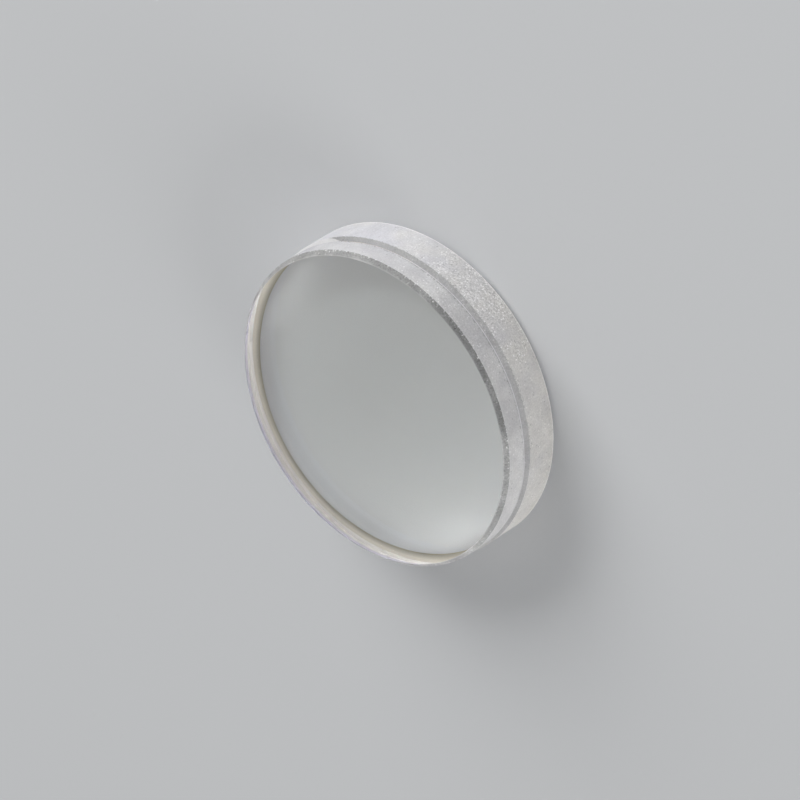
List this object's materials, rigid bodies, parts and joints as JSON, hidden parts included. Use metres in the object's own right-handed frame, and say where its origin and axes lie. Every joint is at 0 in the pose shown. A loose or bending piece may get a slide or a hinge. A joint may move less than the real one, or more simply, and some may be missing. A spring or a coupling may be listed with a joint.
{
  "type": "doublet lens",
  "caption": "Round cemented doublet lens: convex clear front element bonded into a hollow rear element, with a ground, bevelled rim stepped by a fine groove at the joint.",
  "frame": {"origin": "on the optical axis, in the plane of the flat ground rear seat that the lens lies on", "axes": "+Z along the optical axis, from the rear seat towards the convex front face; X and Y are alike, because the lens is round"},
  "size_m": [0.0254, 0.0254, 0.0078],
  "materials": {
    "crown_glass": "polished faces, fine ground rim and bevels",
    "optical_cement": "clear cured cement",
    "flint_glass": "polished faces, ground rim, bevels and seat"
  },
  "bodies": {
    "root": {"front_crown_element": "crown_glass", "cement_layer": "optical_cement", "rear_flint_element": "flint_glass"}
  },
  "joints": []
}
